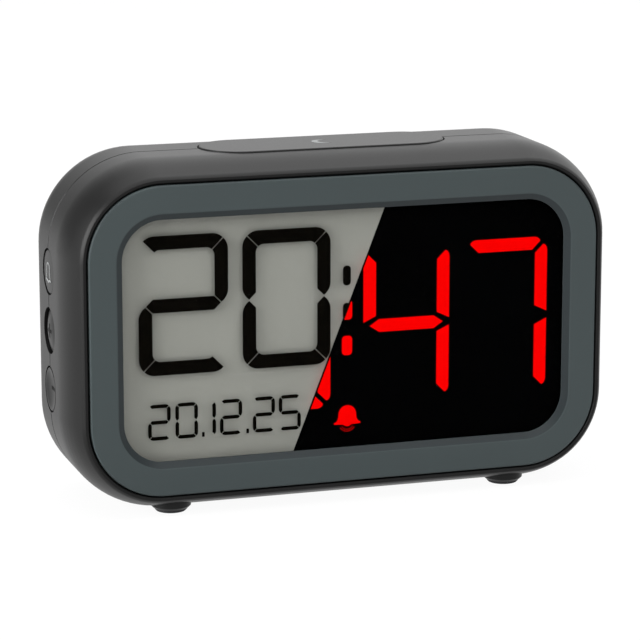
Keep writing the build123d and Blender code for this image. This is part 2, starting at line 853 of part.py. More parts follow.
def contact_leaf(z, x_wall, sense):
    """Bowed spring leaf that stands on a contact plate and presses on a cell's flat end."""
    foot = x_wall + sense * contact_thickness
    crest = foot + sense * leaf_room
    half = contact_width / 2
    thick = sense * contact_thickness
    leaf = make_face([
        ThreePointArc((foot, cell_y - half), (crest, cell_y), (foot, cell_y + half)),
        Line((foot, cell_y + half), (foot, cell_y + half - contact_thickness)),
        ThreePointArc((foot, cell_y + half - contact_thickness), (crest - thick, cell_y),
                      (foot, cell_y - half + contact_thickness)),
        Line((foot, cell_y - half + contact_thickness), (foot, cell_y - half)),
    ])
    low = z - contact_tail_width
    return extrude(Plane.XY.offset(low) * leaf, amount=2 * contact_tail_width, dir=(0, 0, 1))


def contact_tail(z):
    """Tail of a contact, through the slit in the end wall, for a lead."""
    x_range = (bay_length / 2 - contact_thickness, bay_length / 2 + bay_wall + contact_tail_length)
    y_range = (cell_y - contact_thickness / 2, cell_y + contact_thickness / 2)
    half = contact_tail_width / 2
    return block(x_range, y_range, (z - half, z + half))


def contact_plus():
    """Flat contact of the upper cell's nub."""
    z = bay_z + cell_pitch / 2
    return contact_plate(z, bay_length / 2, -1) + contact_tail(z)


def contact_minus():
    """Sprung contact of the lower cell's flat end."""
    z = bay_z - cell_pitch / 2
    return contact_plate(z, bay_length / 2, -1) + contact_leaf(z, bay_length / 2, -1) + contact_tail(z)


def contact_link():
    """Strip across the far end that joins the two cells: sprung for the upper, flat for the lower."""
    half = contact_width / 2
    x_wall = -bay_length / 2
    strip = block((x_wall, x_wall + contact_thickness), (cell_y - half, cell_y + half),
                  (bay_z - cell_pitch / 2 - half, bay_z + cell_pitch / 2 + half))
    return strip + contact_leaf(bay_z + cell_pitch / 2, x_wall, 1)


def battery_door():
    """Door with a round lower edge, two hinge pins, and a sprung tongue with grip ridges at its top."""
    half_w = door_width / 2
    door_top = door_bottom + door_height
    plan = Pos(0, bay_z) * RectangleRounded(door_width, door_height, door_corner)
    door = slab(plan, back - door_thickness, back)
    door -= block((-half_w, half_w), (back - door_thickness, back), (door_bottom, hinge_z))
    door += stud(hinge_y, hinge_z, door_thickness / 2, -half_w, half_w)
    pin_end = half_w + door_pin_length
    door += stud(hinge_y, hinge_z, door_pin_radius, -pin_end, pin_end)
    for sign in (-1, 1):
        slit_x = sign * (latch_width + latch_slit) / 2
        door -= block((slit_x - latch_slit / 2, slit_x + latch_slit / 2), (back - door_thickness, back),
                      (door_top - latch_height, door_top))
    for row in range(grip_count):
        z = door_top - latch_height / 2 + (row - (grip_count - 1) / 2) * grip_pitch
        door -= block((-grip_width / 2, grip_width / 2), (back - grip_depth, back),
                      (z - grip_height / 2, z + grip_height / 2))
    return door


# Sounder, feet, screws and leads

def sounder_disc():
    """Brass disc glued to the ring round the sound holes."""
    return post(sounder_x, sounder_z, sounder_radius, sounder_face - sounder_brass, sounder_face)


def sounder_ceramic():
    """Ceramic layer on the disc."""
    high = sounder_face - sounder_brass
    return post(sounder_x, sounder_z, sounder_ceramic_radius, high - sounder_ceramic_thickness, high)


def foot(x, y):
    """Rubber foot set in its pocket, slightly tapered, with a bevelled lower edge."""
    low = -top - foot_height
    tread = foot_radius - foot_taper
    section = make_face([
        Polyline((0, low), (tread - foot_edge, low), (tread, low + foot_edge), (foot_radius, foot_boss_face),
                 (foot_radius, foot_top), (0, foot_top), (0, low)),
    ])
    return Pos(x, y, 0) * revolve(Plane.XZ * section, Axis.Z)


def screw(x, z, seat_y, radius, length, head_radius, head_height):
    """Pan-head screw with its head on a seat and its shank towards the front, with a crossed recess."""
    body = post(x, z, radius, seat_y - length, seat_y)
    head = post(x, z, head_radius, seat_y, seat_y + head_height)
    body += chamfer(head.edges().group_by(Axis.Y)[-1], screw_edge)
    high = seat_y + head_height
    for turn in (0, 90):
        recess = Rot(0, 0, turn) * Rectangle(2 * (head_radius - cross_margin), cross_width)
        body -= slab(Pos(x, z) * recess, high - cross_depth, high)
    return body


def housing_screws():
    """The four long screws from the back."""
    return [screw(sx * housing_screw_x, sz * housing_screw_z, housing_seat_y, housing_screw_radius,
                  housing_screw_length, housing_screw_head_radius, housing_screw_head_height)
            for sx, sz in corner_signs]


def board_screws():
    """The four short screws through the board's ears."""
    return [screw(sx * ear_x, sz * ear_z, board_back, board_screw_radius, board_screw_length,
                  board_screw_head_radius, board_screw_head_height)
            for sx, sz in corner_signs]


def lead(*points):
    """A wire along straight runs joined by arcs."""
    path = FilletPolyline(*points, radius=lead_bend)
    start = Plane(origin=path @ 0, z_dir=path % 0)
    return sweep(start * Circle(lead_radius), path=path)


def battery_lead(z):
    """Lead from a contact's tail to the board."""
    x = bay_length / 2 + bay_wall + contact_tail_length / 2
    tail_face = cell_y - contact_thickness / 2
    return post(x, z, lead_radius, board_back, tail_face)


def sounder_lead(sign):
    """Lead from the sounder to the board."""
    x = sounder_x + sign * lead_pitch
    face = sounder_face - sounder_brass - sounder_ceramic_thickness
    return post(x, sounder_z, lead_radius, board_back, face)


def side_board_leads():
    """Leads that turn from the back of the side board onto the main board."""
    face = side_board_face + board_thickness
    reach = face + lead_bend + lead_reach
    y = board_back + lead_bend + lead_rise
    rows = [-lead_pitch, 0.0, lead_pitch]
    return [lead((face, y, z), (reach, y, z), (reach, board_back, z)) for z in rows]


def top_board_leads():
    """Leads that turn from the underside of the top board onto the main board."""
    face = top_board_face - board_thickness
    reach = face - lead_bend - lead_reach
    y = board_back + lead_bend + lead_rise
    rows = [-lead_pitch / 2, lead_pitch / 2]
    return [lead((x, y, face), (x, y, reach), (x, board_back, reach)) for x in rows]


os.makedirs("parts", exist_ok=True)

write("front_shell", front_shell())
write("rear_shell", rear_shell())
write("bezel_frame", bezel_frame())
write("display_lens", lens())
write("lcd_panel", lcd_panel())
write("diffuser_film", diffuser_film())
write("light_box", light_box())
write("segment_inserts", *segment_inserts())
write("main_board", main_board())
write("segment_leds", *segment_leds())
write("driver_chip", driver_chip())
write("quartz_crystal", crystal())
for place, sign in (("upper", 1), ("lower", -1)):
    write(f"contact_strip_{place}", contact_strip(sign))

write("snooze_bar", snooze_bar())
write("top_switch_board", top_switch_board())
for place, x in (("left", -snooze_switch_x), ("right", snooze_switch_x)):
    write(f"snooze_switch_{place}", top_switch(x))
    write(f"snooze_plunger_{place}", top_plunger(x))
write("side_switch_board", side_switch_board())
bulges = (alarm_bulge, plus_bulge, minus_bulge)
for name, z, bulge in zip(("alarm", "plus", "minus"), button_rows(), bulges):
    write(f"{name}_button", button(z, bulge))
    write(f"{name}_switch", side_switch(z))
    write(f"{name}_plunger", side_plunger(z))

write("cell_upper", cell(bay_z + cell_pitch / 2, 1))
write("cell_lower", cell(bay_z - cell_pitch / 2, -1))
write("contact_plus", contact_plus())
write("contact_minus", contact_minus())
write("contact_link", contact_link())
write("battery_door", battery_door())
write("sounder_disc", sounder_disc())
write("sounder_ceramic", sounder_ceramic())
for place, y in (("front", -foot_y), ("rear", foot_y)):
    write(f"foot_{place}_left", foot(-foot_x, y))
    write(f"foot_{place}_right", foot(foot_x, y))
write("housing_screws", *housing_screws())
write("board_screws", *board_screws())
write("battery_lead_plus", battery_lead(bay_z + cell_pitch / 2))
write("battery_lead_minus", battery_lead(bay_z - cell_pitch / 2))
write("sounder_leads", sounder_lead(-1), sounder_lead(1))
write("side_board_leads", *side_board_leads())
write("top_board_leads", *top_board_leads())
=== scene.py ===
# %% [markdown]
# A digital desk clock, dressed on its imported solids. The housing, bezel, buttons, feet and all inner
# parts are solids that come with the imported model. This lesson adds what only a picture needs: the two
# faces of the display, the signs on the keys, the finishes, a pale floor, soft light and a camera.
# Lengths on the clock are written in millimetres, those of the floor and the lamps in metres.

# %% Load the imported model
import json
import math

import bpy
import numpy as np
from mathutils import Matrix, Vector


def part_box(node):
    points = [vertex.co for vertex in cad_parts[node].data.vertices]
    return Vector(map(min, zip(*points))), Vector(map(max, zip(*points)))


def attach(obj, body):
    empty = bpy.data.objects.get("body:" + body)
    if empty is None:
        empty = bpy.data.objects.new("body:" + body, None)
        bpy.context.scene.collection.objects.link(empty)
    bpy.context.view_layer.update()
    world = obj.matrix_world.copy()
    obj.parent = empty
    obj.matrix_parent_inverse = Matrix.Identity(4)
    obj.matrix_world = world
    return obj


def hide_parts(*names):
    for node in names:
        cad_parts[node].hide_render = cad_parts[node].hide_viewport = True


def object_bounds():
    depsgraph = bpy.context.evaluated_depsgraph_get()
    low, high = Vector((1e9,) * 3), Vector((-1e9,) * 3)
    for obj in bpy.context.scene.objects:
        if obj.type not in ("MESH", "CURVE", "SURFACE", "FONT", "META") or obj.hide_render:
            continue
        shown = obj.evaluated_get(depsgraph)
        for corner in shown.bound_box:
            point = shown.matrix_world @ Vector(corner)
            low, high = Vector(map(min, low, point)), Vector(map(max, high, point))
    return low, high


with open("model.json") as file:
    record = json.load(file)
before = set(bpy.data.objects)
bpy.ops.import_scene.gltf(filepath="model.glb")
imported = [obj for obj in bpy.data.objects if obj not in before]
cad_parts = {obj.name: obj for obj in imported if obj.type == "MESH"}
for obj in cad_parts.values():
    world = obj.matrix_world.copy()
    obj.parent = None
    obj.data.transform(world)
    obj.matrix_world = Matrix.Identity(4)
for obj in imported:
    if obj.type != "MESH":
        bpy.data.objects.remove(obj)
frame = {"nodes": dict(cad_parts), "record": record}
cad_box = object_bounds()
nodes = frame["nodes"]
record = frame["record"]
MM = 0.001
scene = bpy.context.scene
scene.view_settings.view_transform = "Standard"
box_size = [round((high - low) / MM, 2) for low, high in zip(*cad_box)]
print("nodes:", len(nodes), "size in mm:", box_size)

# %% [markdown]
# The camera stands in front of the clock, a little to its left and a little above it. A long lens keeps
# the edges of the body nearly parallel, as in a picture for a shop. Place, turn and lens were fitted
# together to the corners of the body, so no shift is needed.

# %% Camera
camera_place = np.array([-219.68, -681.47, 197.47]) * MM
degrees_down = 12.32
degrees_right = 17.83
camera_lens = 166.12
film_width = 36.0

camera_data = bpy.data.cameras.new("clock_camera")
camera_data.lens = camera_lens
camera_data.sensor_width = film_width
camera = bpy.data.objects.new("clock_camera", camera_data)
camera.location = camera_place
camera.rotation_euler = (math.radians(90 - degrees_down), 0.0, math.radians(-degrees_right))
scene.collection.objects.link(camera)
scene.camera = camera
print("camera at", camera_place.round(3), "lens", camera_lens)

# %% [markdown]
# Two small helpers serve every finish. Colours are given as sRGB hex values, but a renderer
# counts light, so one function turns them to linear values. The other adds a shader node, sets its
# sockets and links it, so that a finish reads as a short list.

# %% Helpers for finishes
def linear(hex_colour):
    """Linear RGBA of an sRGB hex colour: a channel under 0.04045 is divided by 12.92, a larger one is moved
    up by 0.055, divided by 1.055 and raised to the power 2.4."""
    channels = np.array([int(hex_colour[i:i + 2], 16) for i in (1, 3, 5)]) / 255
    bright = ((channels + 0.055) / 1.055) ** 2.4
    return (*np.where(channels <= 0.04045, channels / 12.92, bright).tolist(), 1.0)


def add(tree, kind, inputs=(), **settings):
    """One new node in a tree. Settings are its properties; inputs pairs a socket with a value or link."""
    made = tree.nodes.new(kind)
    for name, value in settings.items():
        setattr(made, name, value)
    for socket, value in dict(inputs).items():
        if isinstance(value, bpy.types.NodeSocket):
            tree.links.new(value, made.inputs[socket])
        else:
            made.inputs[socket].default_value = value
    return made


def new_material(name):
    """An empty node material with its output node."""
    material = bpy.data.materials.new(name)
    material.use_nodes = True
    material.node_tree.nodes.clear()
    output = material.node_tree.nodes.new("ShaderNodeOutputMaterial")
    return material, material.node_tree, output


def per_metre(size_mm):
    """Texture scale that gives features of a size in millimetres on coordinates in metres."""
    return 1 / (size_mm * MM)


print("white is", linear("#FFFFFF"), "mid grey is", [round(value, 3) for value in linear("#808080")])

# %% [markdown]
# Moulded ABS is the main material: a black body and a slate frame. The steel mould is spark eroded,
# which leaves a very fine even grain, and the plastic shows it as a satin sheen with no clear
# reflections. The grain is about a tenth of a millimetre across; it is drawn about three times as
# coarse so that it shows. A slow drift of tone stands for the flow of the plastic in the mould.

# %% Moulded plastics
flow_mm = 35.0
satin_spread = 0.04
grain_relief = 0.02 * MM


def moulded(name, colour, roughness, grain_mm=0.3, grain_depth=0.12, drift=0.06, gloss=0.4):
    """Moulded plastic: base colour with a slow drift, roughness that varies a little, and a fine grain."""
    material, tree, output = new_material(name)
    place = add(tree, "ShaderNodeTexCoord").outputs["Object"]
    grain = add(tree, "ShaderNodeTexNoise", {"Vector": place, "Scale": per_metre(grain_mm), "Detail": 2.0})
    flow = add(tree, "ShaderNodeTexNoise", {"Vector": place, "Scale": per_metre(flow_mm), "Detail": 1.0})
    tone = add(tree, "ShaderNodeMapRange", {"Value": flow.outputs["Fac"], "To Min": 1 - drift,
                                            "To Max": 1 + drift})
    base = add(tree, "ShaderNodeVectorMath", {0: linear(colour)[:3], "Scale": tone.outputs["Result"]},
               operation="SCALE")
    rough = add(tree, "ShaderNodeMapRange", {"Value": grain.outputs["Fac"],
                                             "To Min": roughness - satin_spread,
                                             "To Max": roughness + satin_spread})
    bump = add(tree, "ShaderNodeBump", {"Height": grain.outputs["Fac"], "Strength": grain_depth,
                                        "Distance": grain_relief})
    shader = add(tree, "ShaderNodeBsdfPrincipled", {"Base Color": base.outputs["Vector"],
                                                    "Specular IOR Level": gloss,
                                                    "Roughness": rough.outputs["Result"],
                                                    "Normal": bump.outputs["Normal"]})
    tree.links.new(shader.outputs["BSDF"], output.inputs["Surface"])
    return material


finishes = {
    "shell_black": moulded("ABS_satin_black", "#0A0A0A", 0.4, gloss=0.22),
    "bezel_slate": moulded("ABS_satin_slate", "#3D4546", 0.5, gloss=0.2),
    "white_moulding": moulded("polystyrene_white", "#EDEDEA", 0.5),
    "red_insert": moulded("acrylic_red_insert", "#C81414", 0.25, grain_depth=0.03),
    "chip_resin": moulded("epoxy_black_drop", "#0E0E10", 0.2, grain_mm=1.5),
    "switch_plastic": moulded("nylon_black", "#1A1A1C", 0.5),
    "led_resin": moulded("epoxy_clear_led", "#EAE2C4", 0.2, grain_depth=0.03),
    "film": moulded("polyester_diffuser_film", "#EFEFEF", 0.6),
    "lead_red": moulded("PVC_red_insulation", "#B01818", 0.4),
    "lead_black": moulded("PVC_black_insulation", "#161616", 0.4),
    "foot_rubber": moulded("rubber_black", "#202022", 0.75, grain_mm=0.5, grain_depth=0.3),
    "strip_rubber": moulded("silicone_grey_strip", "#A8ABB2", 0.6),
    "sounder_ceramic": moulded("ceramic_silvered", "#DAD8D0", 0.35, grain_depth=0.05),
}
print("moulded finishes:", sorted(finishes))

# %% [markdown]
# The metals inside the clock are thin stampings, turned screws and a rolled brass disc. Rolling and
# plating leave fine lines along one direction, so a noise that is stretched along one axis varies the
# roughness.

# %% Metals
line_stretch = 0.04
line_spread = 0.08
line_depth = 0.08


def rolled(name, colour, roughness, line_mm=0.25):
    """Rolled or plated metal: full metal with fine lines along the width, drawn coarse enough to show."""
    material, tree, output = new_material(name)
    place = add(tree, "ShaderNodeTexCoord").outputs["Object"]
    stretch = add(tree, "ShaderNodeMapping", {"Vector": place, "Scale": (line_stretch, 1.0, 1.0)})
    lines = add(tree, "ShaderNodeTexNoise", {"Vector": stretch.outputs["Vector"],
                                             "Scale": per_metre(line_mm)})
    rough = add(tree, "ShaderNodeMapRange", {"Value": lines.outputs["Fac"],
                                             "To Min": roughness - line_spread,
                                             "To Max": roughness + line_spread})
    bump = add(tree, "ShaderNodeBump", {"Height": lines.outputs["Fac"], "Strength": line_depth,
                                        "Distance": grain_relief})
    shader = add(tree, "ShaderNodeBsdfPrincipled", {"Base Color": linear(colour), "Metallic": 1.0,
                                                    "Roughness": rough.outputs["Result"],
                                                    "Normal": bump.outputs["Normal"]})
    tree.links.new(shader.outputs["BSDF"], output.inputs["Surface"])
    return material


metals = {
    "contact_metal": rolled("nickel_plated_steel", "#CFCAC0", 0.28),
    "screw_steel": rolled("zinc_plated_steel", "#B9BABD", 0.32),
    "sounder_brass": rolled("brass_rolled", "#D8B56A", 0.3),
}
finishes.update(metals)
print("metals:", [metal.name for metal in metals.values()])

# %% [markdown]
# The circuit boards are glass-fibre laminate under green lacquer. Copper tracks below the lacquer show
# as paler green lines, a little over a millimetre apart, so a brick pattern with thin joints draws
# them.

# %% Circuit boards
material, tree, output = new_material("laminate_green_lacquer")
place = add(tree, "ShaderNodeTexCoord").outputs["Object"]
upright = add(tree, "ShaderNodeMapping", {"Vector": place, "Rotation": (math.radians(90), 0.0, 0.0)})
# With a scale of one to a millimetre, the sizes of the pattern are millimetres.
track_sizes = {"Scale": per_metre(1.0), "Brick Width": 6.0, "Row Height": 1.3, "Mortar Size": 0.12}
track_colours = {"Color1": linear("#12422A"), "Color2": linear("#144A2E"), "Mortar": linear("#2E7A4C")}
tracks = add(tree, "ShaderNodeTexBrick", {"Vector": upright.outputs["Vector"],
                                          **track_sizes, **track_colours})
shader = add(tree, "ShaderNodeBsdfPrincipled", {"Base Color": tracks.outputs["Color"], "Roughness": 0.3})
tree.links.new(shader.outputs["BSDF"], output.inputs["Surface"])
finishes["circuit_board"] = material
print("board finish:", material.name)

# %% [markdown]
# A cell is a steel can in a printed sleeve. The sleeve stops short of both ends, so the bare steel
# shows there, and a copper-coloured band marks the positive end. All of it depends only on how far
# along the cell a point lies, so the finish reads the x coordinate. The two cells lie opposite ways
# round, and each gets its own copy.

# %% Cells
scuff_mm = 1.2


def sleeved_cell(name, node_name, positive):
    """Steel can in a sleeve: bare ends, a coppery band at the positive end, a plain grey sleeve. Positive is
    1 where that end points to the right, and -1 where it points to the left."""
    low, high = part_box(node_name)
    material, tree, output = new_material(name)
    place = add(tree, "ShaderNodeTexCoord").outputs["Object"]
    along = add(tree, "ShaderNodeSeparateXYZ", {"Vector": place}).outputs["X"]
    start, end = (low.x, high.x) if positive > 0 else (high.x, low.x)
    share = add(tree, "ShaderNodeMapRange", {"Value": along, "From Min": start, "From Max": end})
    bands = add(tree, "ShaderNodeValToRGB", {"Fac": share.outputs["Result"]})
    ramp = bands.color_ramp
    ramp.interpolation = "CONSTANT"
    stops = [(0.0, "#B9B9B6"), (0.02, "#3A3D42"), (0.78, "#A9693A"), (0.955, "#B9B9B6")]
    for position, colour in stops[1:]:
        ramp.elements.new(position).color = linear(colour)
    ramp.elements[0].color = linear(stops[0][1])
    ramp.elements[-1].color = linear(stops[-1][1])
    scuff = add(tree, "ShaderNodeTexNoise", {"Vector": place, "Scale": per_metre(scuff_mm), "Detail": 3.0})
    rough = add(tree, "ShaderNodeMapRange", {"Value": scuff.outputs["Fac"], "To Min": 0.22, "To Max": 0.38})
    shader = add(tree, "ShaderNodeBsdfPrincipled", {"Base Color": bands.outputs["Color"], "Metallic": 0.6,
                                                    "Roughness": rough.outputs["Result"]})
    tree.links.new(shader.outputs["BSDF"], output.inputs["Surface"])
    return material


node_finishes = {
    "cell_upper": sleeved_cell("sleeved_steel_upper", "cell_upper", positive=1),
    "cell_lower": sleeved_cell("sleeved_steel_lower", "cell_lower", positive=-1),
}
print("cells:", sorted(node_finishes))

# %% [markdown]
# The window is clear acrylic with a coating against glare, so it is hardly seen: it only takes a faint
# sheen where it meets the light at a low angle. Real refraction would add nothing in a flat sheet a
# millimetre thick, so the finish is a nearly transparent surface with a smooth top. A few faint wipe
# marks vary the gloss.

# %% Clear acrylic and display glass
wipe_mm = 18.0


def clear(name, colour, opacity, specular):
    """Clear sheet: mostly transparent, with a smooth top whose gloss varies with faint wipe marks."""
    material, tree, output = new_material(name)
    place = add(tree, "ShaderNodeTexCoord").outputs["Object"]
    wipes = add(tree, "ShaderNodeTexNoise", {"Vector": place, "Scale": per_metre(wipe_mm), "Detail": 3.0})
    rough = add(tree, "ShaderNodeMapRange", {"Value": wipes.outputs["Fac"], "To Min": 0.05, "To Max": 0.14})
    shader = add(tree, "ShaderNodeBsdfPrincipled", {"Base Color": linear(colour), "Alpha": opacity,
                                                    "Specular IOR Level": specular,
                                                    "Roughness": rough.outputs["Result"]})
    tree.links.new(shader.outputs["BSDF"], output.inputs["Surface"])
    return material


finishes["window_clear"] = clear("acrylic_clear_coated", "#101112", opacity=0.03, specular=0.1)
front_glass_finish = clear("display_glass_clear", "#101112", opacity=0.02, specular=0.05)
print("clear finishes:", finishes["window_clear"].name, front_glass_finish.name)

# %% [markdown]
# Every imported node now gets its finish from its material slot. Their meshes are loose triangles, so a
# weld joins them, an edge split keeps the true edges, and smooth shading with weighted normals hides
# the facets of the rounded shoulders. All of this is done by modifiers, and the solids stay as they
# are. The LCD gets no finish here, because its two glasses replace it further down.

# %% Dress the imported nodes
weld_mm = 0.001
edge_angle = math.radians(28)
slots = {part["node"]: part["material_slot"] for part in record["subparts"]}
dressed = 0
for name, thing in nodes.items():
    finish = node_finishes.get(name) or finishes.get(slots[name])
    if finish is None:
        continue
    thing.data.materials.clear()
    thing.data.materials.append(finish)
    thing.data.polygons.foreach_set("use_smooth", np.ones(len(thing.data.polygons), dtype=bool))
    weld = thing.modifiers.new("weld", "WELD")
    weld.merge_threshold = weld_mm * MM
    split = thing.modifiers.new("true_edges", "EDGE_SPLIT")
    split.split_angle = edge_angle
    weighted = thing.modifiers.new("weighted_normals", "WEIGHTED_NORMAL")
    weighted.keep_sharp = True
    dressed += 1
print("dressed nodes:", dressed, "of", len(nodes))

# %% [markdown]
# The bevel round the window is polished in the mould, and its base colour is painted darker than the
# face of the frame, as painted shade for the light that the recess takes. Its faces are the ones that
# lean: neither square to the front nor along the depth. The narrow break between bevel and face leans
# much less; it is burnished and catches a thin line of light. A face is picked by how much of its
# direction points to the front, and by its distance from the frame's outer edge.

# %% Polished bevel with painted shade
# Painted shade: the bevel's base colour is darker than the frame's slate and stands in for the shade in the
# recess.
bevel_painted_shade_finish = moulded("ABS_polished_slate_painted_shade", "#282E30", 0.35, gloss=0.18)
bevel_edge_finish = moulded("ABS_burnished_slate", "#3F4748", 0.28, gloss=0.5)
bevel_lean = (0.75, 0.93)
break_lean = (0.93, 0.975)
outer_margin = 3.0

bezel_mesh = nodes["bezel_frame"].data
directions = np.empty(3 * len(bezel_mesh.polygons))
bezel_mesh.polygons.foreach_get("normal", directions)
centres = np.empty(3 * len(bezel_mesh.polygons))
bezel_mesh.polygons.foreach_get("center", centres)
directions, centres = directions.reshape(-1, 3), centres.reshape(-1, 3) / MM
bezel_low, bezel_high = [np.array(corner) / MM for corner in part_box("bezel_frame")]
from_edge = np.minimum(centres - bezel_low, bezel_high - centres)[:, [0, 2]].min(axis=1)
frontward = -directions[:, 1]
inside = from_edge > outer_margin
leans = inside & (frontward > bevel_lean[0]) & (frontward < bevel_lean[1])
breaks = inside & (frontward > break_lean[0]) & (frontward < break_lean[1])
bezel_mesh.materials.append(bevel_painted_shade_finish)
bezel_mesh.materials.append(bevel_edge_finish)
bezel_mesh.polygons.foreach_set("material_index", (leans + 2 * breaks).astype(np.int32))
print("bevel faces:", int(leans.sum()), "edge faces:", int(breaks.sum()), "of", len(leans))

# %% [markdown]
# New pieces are thin plates. A plate starts from a closed outline across and up, worked out as one
# array, and is carried straight back through a depth. Each outline gives two caps and a ring of walls,
# and many outlines join into one mesh. Three directions say how across, depth and up lie in the clock,
# so that the same plates serve the front, the left side and the top.

# %% Thin plates from outlines
facing_front = np.array([(1, 0, 0), (0, 1, 0), (0, 0, 1)])
facing_left = np.array([(0, -1, 0), (1, 0, 0), (0, 0, 1)])
facing_up = np.array([(1, 0, 0), (0, 0, -1), (0, 1, 0)])


def new_piece(name, points, faces, body, finish):
    """A mesh object from points in millimetres and faces, with its finish, that rides with a body."""
    mesh = bpy.data.meshes.new(name)
    mesh.from_pydata((points * MM).tolist(), [], faces)
    mesh.validate()
    mesh.materials.append(finish)
    piece = bpy.data.objects.new(name, mesh)
    scene.collection.objects.link(piece)
    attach(piece, body)
    return piece


def plate(name, outlines, near, far, body, finish, facing=facing_front):
    """Plates of constant thickness: every outline, counter-clockwise as seen, is copied to two depths,
    capped at both, and walled between neighbouring points. The facing turns across, depth and up into
    x, y and z."""
    points, faces, start = [], [], 0
    for outline in outlines:
        count = len(outline)
        depth = np.repeat([near, far], count)
        points.append(np.column_stack([np.tile(outline[:, 0], 2), depth, np.tile(outline[:, 1], 2)]))
        ring = np.arange(count)
        following = np.roll(ring, -1)
        walls = np.column_stack([ring, ring + count, following + count, following]) + start
        faces += [(ring + start).tolist(), (ring[::-1] + count + start).tolist(), *walls.tolist()]
        start += 2 * count
    return new_piece(name, np.concatenate(points) @ facing, faces, body, finish)


def band(name, outer, inner, near, far, body, finish, facing=facing_front):
    """A flat band of constant thickness between two outlines of as many points. Four rings of points (outer
    near, inner near, inner far, outer far) are walled from each to the next, and from last to first."""
    count = len(outer)
    rings = [(outer, near), (inner, near), (inner, far), (outer, far)]
    points = [np.column_stack([ring[:, 0], np.full(count, depth), ring[:, 1]]) for ring, depth in rings]
    here = np.arange(4 * count).reshape(4, count)
    ahead = np.roll(here, -1, axis=1)
    inward = np.roll(here, -1, axis=0)
    faces = np.stack([here, ahead, np.roll(inward, -1, axis=1), inward], axis=-1).reshape(-1, 4).tolist()
    return new_piece(name, np.concatenate(points) @ facing, faces, body, finish)


def arc(middle, radius, from_degrees, to_degrees, count=9):
    """Points on a circle: the middle plus the radius times the cosine and sine of evenly spaced angles."""
    angle = np.radians(np.linspace(from_degrees, to_degrees, count))
    return np.asarray(middle) + radius * np.column_stack([np.cos(angle), np.sin(angle)])


def rounded_rectangle(width, height, radius):
    """Outline of a rectangle whose corners are quarter circles, counter-clockwise."""
    x, z = width / 2 - radius, height / 2 - radius
    corners = [((x, z), 0), ((-x, z), 90), ((-x, -z), 180), ((x, -z), 270)]
    return np.concatenate([arc(middle, radius, turn, turn + 90) for middle, turn in corners])


print("a rounded rectangle has", len(rounded_rectangle(width=10, height=5, radius=1)), "points")

# %% [markdown]
# The display has two faces. By day it is a reflective LCD: dark segments in a front glass, over a grey
# reflector one glass thickness behind, on which they cast a soft shadow. By night the ground is black
# and red LED light shines through. Here the left part shows the day face and the right part the night
# face, along a slanted line, so both can be seen at once. Outlines are drawn about the middle of the
# display, cut along that line, and lifted to where the display is.

# %% Where the display is
lcd_low, lcd_high = [np.array(corner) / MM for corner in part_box("lcd_panel")]
display_z = (lcd_low[2] + lcd_high[2]) / 2
lcd_width = lcd_high[0] - lcd_low[0]
lcd_height = lcd_high[2] - lcd_low[2]
split_x = -1.2
split_slope = 0.394


def lifted(outline):
    """An outline about the middle of the display, moved up to where the display is."""
    return outline + np.array([0.0, display_z])


def kept_side(outline, side):
    """The part of an outline on one side of the slanted line. The signed distance is the width minus the
    line's width at that height; where it changes sign along an edge, the crossing point is put in."""
    distance = side * (outline[:, 0] - split_x - split_slope * outline[:, 1])
    following = np.roll(outline, -1, axis=0)
    next_distance = np.roll(distance, -1)
    crosses = distance * next_distance < 0
    share = distance / np.where(crosses, distance - next_distance, 1.0)
    crossing = outline + share[:, None] * (following - outline)
    pairs = np.stack([crossing, following], axis=1).reshape(-1, 2)
    keep = np.stack([crosses, next_distance >= 0], axis=1).reshape(-1)
    return pairs[keep]


def shown(outlines, side):
    """What is left of some outlines on one side of the slanted line, lifted; those with nothing left go."""
    kept = [kept_side(outline, side) for outline in outlines]
    return [lifted(outline) for outline in kept if len(outline) > 2]


print("display middle at z", round(display_z, 2), "glass", round(lcd_width, 1), "by", round(lcd_height, 1))

# %% [markdown]
# Behind the glass lie thin layers. The reflector is a grey film that looks like fine metal dust, drawn
# about a third of a millimetre across, coarser than it is, so that it shows. The night ground is a
# black polariser that takes all light. One function makes the layers whose tone drifts between two
# close colours. A lit layer sends that tone out as its own light, so that lamps hardly change it.

# %% Finishes of the display
haze_mm = 6.0


def display_layer(name, cloud_mm, colours, roughness, gloss, lit=False):
    """A thin layer whose tone drifts between two colours: as its own light if lit, or else as its base."""
    material, tree, output = new_material(name)
    place = add(tree, "ShaderNodeTexCoord").outputs["Object"]
    cloud = add(tree, "ShaderNodeTexNoise", {"Vector": place, "Scale": per_metre(cloud_mm)})
    first, second = [linear(colour) for colour in colours]
    tone = add(tree, "ShaderNodeMix", {0: cloud.outputs["Fac"], 6: first, 7: second}, data_type="RGBA")
    look = {"Roughness": roughness, "Specular IOR Level": gloss}
    if lit:
        look["Base Color"] = linear("#200000")
        look["Emission Color"] = tone.outputs[2]
        look["Emission Strength"] = 1.0
    else:
        look["Base Color"] = tone.outputs[2]
    shader = add(tree, "ShaderNodeBsdfPrincipled", look)
    tree.links.new(shader.outputs["BSDF"], output.inputs["Surface"])
    return material


reflector_finish = display_layer("polariser_grey_reflector", cloud_mm=0.35, colours=("#A0A19A", "#9C9D95"),
                                 roughness=0.6, gloss=0.2)

material, tree, output = new_material("polariser_black")
place = add(tree, "ShaderNodeTexCoord").outputs["Object"]
haze = add(tree, "ShaderNodeTexNoise", {"Vector": place, "Scale": per_metre(haze_mm)})
rough = add(tree, "ShaderNodeMapRange", {"Value": haze.outputs["Fac"], "To Min": 0.5, "To Max": 0.7})
shader = add(tree, "ShaderNodeBsdfPrincipled", {"Base Color": linear("#000000"), "Specular IOR Level": 0.0,
                                                "Roughness": rough.outputs["Result"]})
tree.links.new(shader.outputs["BSDF"], output.inputs["Surface"])
night_finish = material
print("display layers:", reflector_finish.name, night_finish.name)

# %% [markdown]
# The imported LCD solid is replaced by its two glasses. The rear one carries the reflector and stops
# short at the top and bottom, where the connector strips touch the front one. The black ground lies
# between them.

